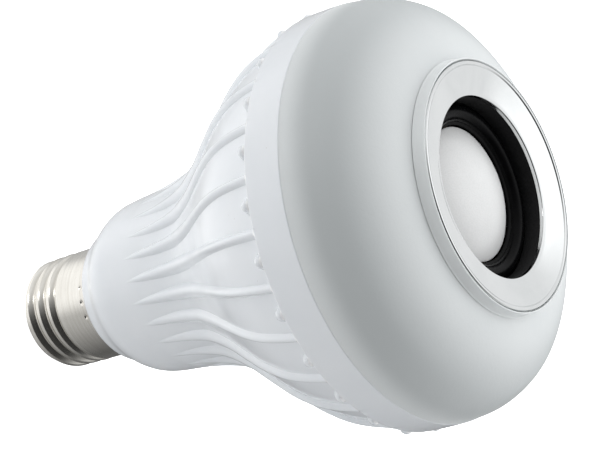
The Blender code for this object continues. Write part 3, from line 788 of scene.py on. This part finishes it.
def build_speaker_front(rubber, foam, pearl, cloth):
    """Rubber surround, cloth spider, foam gasket and dust cap."""
    top = [(13.55, 121.4)]
    top += roll_arc(ROLL_R, np.linspace(math.pi, 0.12, 22))
    top += [(17.6, 122.22), (18.5, 122.30)]
    under = [(18.5, 121.9), (17.0, 121.9)]
    under += roll_arc(ROLL_UNDER_R, np.linspace(0.35, math.pi - 0.1, 14))
    under += [(13.55, 120.95)]
    outline = (top + under)[::-1]
    surround = lathe("rubber_surround", outline, 192, None, ["surround"], rubber, 45.0)
    between_bodies(surround, *SURROUND_MOVES)

    upper = []
    lower = []
    for k in range(81):
        share = k / 80
        radius = SPIDER_IN_R + (SPIDER_OUT_R - SPIDER_IN_R) * share
        middle = SPIDER_Z - SPIDER_DROP * share + SPIDER_WAVE * math.sin(math.pi * (7.0 * share + 0.5))
        upper.append((radius, middle + SPIDER_HALF))
        lower.append((radius, middle - SPIDER_HALF))
    spider = lathe("cloth_spider", lower + upper[::-1], 120, None, ["spider"], cloth, 60.0)
    between_bodies(spider, *SPIDER_MOVES)

    wall = [(17.75, 122.4, 0.1), (18.5, 122.4), (18.5, 125.7), (17.75, 125.7, 0.15)]
    lathe("foam_gasket", rounded(wall), 160, "bulb", ["gasket"], foam)

    sphere_r = (DOME_R**2 + DOME_RISE**2) / (2 * DOME_RISE)
    centre = DOME_Z + DOME_RISE - sphere_r
    half = math.asin(DOME_R / sphere_r)
    outer = [(sphere_r * math.sin(a), centre + sphere_r * math.cos(a)) for a in np.linspace(0, half, 40)]
    outer += [(DOME_R + 0.06, DOME_Z - 0.1), (DOME_R, DOME_Z - 0.22)]
    under_r = sphere_r - DOME_WALL
    inner = [(under_r * math.sin(a), centre + under_r * math.cos(a)) for a in np.linspace(half * 0.98, 0, 20)]
    lathe("pearl_dome", (outer + inner)[::-1], 192, "diaphragm", ["dust_cap"], pearl, 60.0)


# --------------------------------------------------------------------------------------------------
# The inner pieces keep their CAD shapes and take these finishes
# --------------------------------------------------------------------------------------------------


def finish_inner_nodes():
    """Gives every CAD node that still shows its own procedural material."""
    steel = metal("zinc_steel", (0.56, 0.57, 0.58), 0.28)
    screws = metal("screw_steel", (0.50, 0.51, 0.53), 0.24, (900, 900, 900))
    aluminium = metal("aluminium_sheet", (0.72, 0.73, 0.74), 0.32, (900, 25, 900))
    black = moulded("black_plastic", (0.016, 0.016, 0.018), 0.42, 0.12)
    chips = speckled("chip_epoxy", (0.010, 0.010, 0.011), (0.022, 0.022, 0.024), 0.5)
    sleeve = moulded("sleeve_plastic", (0.78, 0.79, 0.80), 0.42)
    board = circuit_finish("board_green", (0.012, 0.120, 0.035), (0.030, 0.230, 0.075))
    light_board = speckled("light_board", (0.80, 0.80, 0.78), (0.88, 0.88, 0.86), 0.48, 500)
    phosphor = speckled("phosphor_gel", (0.80, 0.60, 0.13), (0.92, 0.76, 0.24), 0.35, 1500, Coat_Weight=0.5)
    tape = moulded("yellow_tape", (0.80, 0.56, 0.07), 0.4, 0.06, Coat_Weight=0.3)
    can = moulded("can_sleeve", (0.018, 0.020, 0.040), 0.3, 0.1, Coat_Weight=0.4)
    windings = wound_finish("inductor_windings", (0.76, 0.34, 0.15), 0.0004)
    voice = wound_finish("voice_windings", (0.76, 0.34, 0.15), 0.00012)
    kapton = moulded("former_amber", (0.48, 0.22, 0.03), 0.28, 0.08, Coat_Weight=0.4)
    ferrite = speckled("ferrite", (0.030, 0.030, 0.034), (0.062, 0.062, 0.068), 0.66)
    paint = (0.012, 0.012, 0.013), (0.026, 0.026, 0.028)
    basket = speckled("basket_paint", *paint, 0.42, 1600, Coat_Weight=0.2)
    paper = speckled("cone_paper", (0.008, 0.008, 0.008), (0.030, 0.029, 0.027), 0.8, 2200, 0.00004)
    red = moulded("wire_red", (0.50, 0.016, 0.014), 0.38, 0.08)
    dark = moulded("wire_black", (0.014, 0.014, 0.014), 0.4, 0.1)
    finishes = {
        "mounting_plate": aluminium,
        "led_board": light_board,
        "basket": basket,
        "top_plate": steel,
        "yoke": steel,
        "magnet": ferrite,
        "speaker_terminal": board,
        "cone": paper,
        "coil_former": kapton,
        "voice_coil": voice,
        "driver_sleeve": sleeve,
        "driver_board": board,
        "bluetooth_board": board,
        "bluetooth_chip": chips,
        "control_chip": chips,
        "rectifier": black,
        "transformer": tape,
        "input_capacitor": can,
        "output_capacitor": can,
        "inductor": windings,
        "live_wire": red,
        "led_wire_pos": red,
        "speaker_wire_pos": red,
        "neutral_wire": dark,
        "led_wire_neg": dark,
        "speaker_wire_neg": dark,
    }
    for name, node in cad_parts.items():
        if name.startswith("led_") and name[4:].isdigit():
            finish = phosphor
        elif "_screw_" in name:
            finish = screws
        else:
            finish = finishes.get(name)
        if finish:
            node.data.materials.clear()
            node.data.materials.append(finish)


# --------------------------------------------------------------------------------------------------
# Floor, lights and camera
# --------------------------------------------------------------------------------------------------

# The lamp lies with its axis across the picture. SLANT is the angle between the axis and the line to the
# camera, RISE how far the axis climbs to the right in the picture, and TURN the camera's place round it.
SLANT = math.radians(53.145)
RISE = math.radians(17.13)
TURN = math.radians(1.4)
LENS = 84.0
SENSOR = 36.0
# from the camera to the middle of the seam, in millimetres: right, down and ahead
SEAM_CENTRE = Vector((23.94, -3.45, 272.9))
SEAM_MIDDLE_Z = SEAM_Z + 0.75
FLOOR_GAP = 0.5
FLOOR_SPREAD = 12.0


def camera_axes():
    """Right, up and back of the picture, in the bulb's frame, and where the camera stands, in metres."""
    axis = Vector((math.cos(RISE) * math.sin(SLANT), -math.sin(RISE) * math.sin(SLANT), -math.cos(SLANT)))
    across = axis.cross(Vector((0, 0, 1))).normalized()
    third = axis.cross(across)
    to_bulb = Matrix((across, third, axis))
    turn = Matrix.Rotation(TURN, 3, "Z")
    right = turn @ (to_bulb @ Vector((1, 0, 0)))
    up = turn @ (to_bulb @ Vector((0, -1, 0)))
    back = turn @ (to_bulb @ Vector((0, 0, -1)))
    stand = turn @ (to_bulb @ -SEAM_CENTRE) + Vector((0, 0, SEAM_MIDDLE_Z))
    return right, up, back, stand * MM


def build_camera():
    right, up, back, stand = camera_axes()
    data = bpy.data.cameras.new("camera")
    data.lens = LENS
    data.sensor_width = SENSOR
    data.clip_start = 0.01
    data.clip_end = 20.0
    camera = bpy.data.objects.new("camera", data)
    bpy.context.scene.collection.objects.link(camera)
    pose = Matrix((right, up, back)).transposed().to_4x4()
    pose.translation = stand
    camera.matrix_world = pose
    bpy.context.scene.camera = camera


def softbox(name, aim, direction, distance, size, power):
    data = bpy.data.lights.new(name, "AREA")
    data.shape = "RECTANGLE"
    data.size, data.size_y = size
    data.energy = power
    light = bpy.data.objects.new(name, data)
    bpy.context.scene.collection.objects.link(light)
    direction = direction.normalized()
    light.location = aim + direction * distance
    light.rotation_mode = "QUATERNION"
    light.rotation_quaternion = direction.to_track_quat("Z", "Y")
    return light


def build_lights():
    """One small window light and a world that is bright behind the lamp and dim towards the camera's side."""
    right, up, back, _ = camera_axes()
    low, high = cad_box
    aim = (low + high) / 2
    window = softbox("window_light", aim, up * 0.62 + back * 0.6 - right * 0.5, 0.9, (0.15, 0.22), 0.5)
    window.visible_diffuse = False
    world = bpy.data.worlds.new("studio")
    bpy.context.scene.world = world
    world.use_nodes = True
    tree = world.node_tree
    background = tree.nodes["Background"]
    place = tree.nodes.new("ShaderNodeTexCoord")
    rays = tree.nodes.new("ShaderNodeLightPath")

    def fade(towards, start, end, near, far):
        """Goes from near to far as the direction turns towards the given one."""
        dot = tree.nodes.new("ShaderNodeVectorMath")
        dot.operation = "DOT_PRODUCT"
        dot.inputs[1].default_value = towards.normalized()
        tree.links.new(place.outputs["Generated"], dot.inputs[0])
        made = tree.nodes.new("ShaderNodeMapRange")
        made.interpolation_type = "SMOOTHSTEP"
        for socket, number in zip(("From Min", "From Max", "To Min", "To Max"), (start, end, near, far)):
            made.inputs[socket].default_value = number
        tree.links.new(dot.outputs["Value"], made.inputs["Value"])
        return made.outputs["Result"]

    def added(first, second):
        made = tree.nodes.new("ShaderNodeMath")
        tree.links.new(first, made.inputs[0])
        tree.links.new(second, made.inputs[1])
        return made.outputs["Value"]

    def pick(share, first, second):
        made = tree.nodes.new("ShaderNodeMix")
        tree.links.new(share, made.inputs["Factor"])
        tree.links.new(first, made.inputs["A"])
        if isinstance(second, float):
            made.inputs["B"].default_value = second
        else:
            tree.links.new(second, made.inputs["B"])
        return made.outputs["Result"]

    # surfaces are lit by the soft world, gloss mirrors a darker one, and the camera sees plain white
    dim_side = back - up * 0.65
    bright_side = right + up * 0.3 + back * 0.3
    low_side = right - up * 0.05 + back * 0.1
    soft = added(fade(dim_side, -0.25, 0.95, 1.08, 0.22), fade(low_side, 0.35, 1.0, 0.0, 0.95))
    mirrored = added(fade(dim_side, -0.1, 0.85, 0.92, 0.04), fade(bright_side, 0.8, 1.0, 0.0, 0.6))
    strength = pick(rays.outputs["Is Glossy Ray"], soft, mirrored)
    strength = pick(rays.outputs["Is Camera Ray"], strength, 1.0)
    background.inputs["Color"].default_value = (0.985, 0.992, 1.0, 1.0)
    tree.links.new(strength, background.inputs["Strength"])


def build_floor():
    """A wide pale disc just under the screw cap."""
    low, high = cad_box
    radius = FLOOR_SPREAD * (high.x - low.x) / MM
    z = low.z / MM - FLOOR_GAP
    rings = [0.0, 0.1, 0.3, 0.6, 1.0]
    segments = 96
    angles = TAU * np.arange(segments) / segments
    points = [(0.0, 0.0, z)]
    for ring in rings[1:]:
        points.extend((radius * ring * math.cos(a), radius * ring * math.sin(a), z) for a in angles)
    faces = [[0, 1 + k, 1 + (k + 1) % segments] for k in range(segments)]
    faces += sheet_faces(len(rings) - 1, segments, first=1)
    made = Finish("floor_white", Roughness=0.4)
    tone = made.noise(14, 3.0)
    pale = made.mixed(made.ranged(tone, 0, 1), (0.77, 0.775, 0.78), (0.80, 0.805, 0.805))
    made.rough(made.ranged(tone, 0.35, 0.45))
    made.shader.inputs["Emission Color"].default_value = (1.0, 1.0, 1.0, 1.0)
    # the lamp's surfaces see a floor that glows on its upper left side, and its metal mirrors a darker studio
    right, up, back, _ = camera_axes()
    near = made.node("ShaderNodeVectorMath", operation="NORMALIZE")
    made.link(made.place, near.inputs[0])
    dot = made.node("ShaderNodeVectorMath", operation="DOT_PRODUCT")
    dot.inputs[1].default_value = (up * 0.59 - right * 0.60 + back * 0.535).normalized()
    made.link(near.outputs["Vector"], dot.inputs[0])
    side = dot.outputs["Value"]
    rays = made.node("ShaderNodeLightPath")
    made.colour(made.mixed(rays.outputs["Is Glossy Ray"], pale, (0.04, 0.04, 0.04)))
    lit = made.maths("MAXIMUM", made.ranged(side, 0.0, 0.50, -0.6, 0.6), rays.outputs["Is Camera Ray"])
    slope = made.ranged(side, 0.05, 0.50, -0.8, 0.5)
    mirrored = made.maths("ADD", slope, made.ranged(side, 0.0, 0.60, 0.55, 0.92, True))
    share = made.node("ShaderNodeMix")
    made.link(rays.outputs["Is Glossy Ray"], share.inputs["Factor"])
    made.link(lit, share.inputs["A"])
    made.link(mirrored, share.inputs["B"])
    made.link(share.outputs["Result"], made.shader.inputs["Emission Strength"])
    floor = finish_piece("floor", points, faces, None, None, made.material)


build_housing(housing_finish())
build_screw_cap(
    nickel_finish(),
    metal("contact_tin", (0.66, 0.65, 0.62), 0.3),
    moulded("cap_insulator", (0.012, 0.012, 0.014), 0.3),
)
build_diffuser(diffuser_finish())
build_speaker_tube(moulded("tube_white", (0.80, 0.825, 0.825), 0.34))
build_chrome_ring(chrome_finish())
build_speaker_front(
    rubber_finish(),
    foam_finish(),
    pearl_finish(),
    woven_finish("spider_cloth", (0.52, 0.36, 0.14), 0.0005, 0.0001),
)
finish_inner_nodes()
build_floor()
build_lights()
build_camera()

scene = bpy.context.scene
scene.view_settings.view_transform = "Standard"
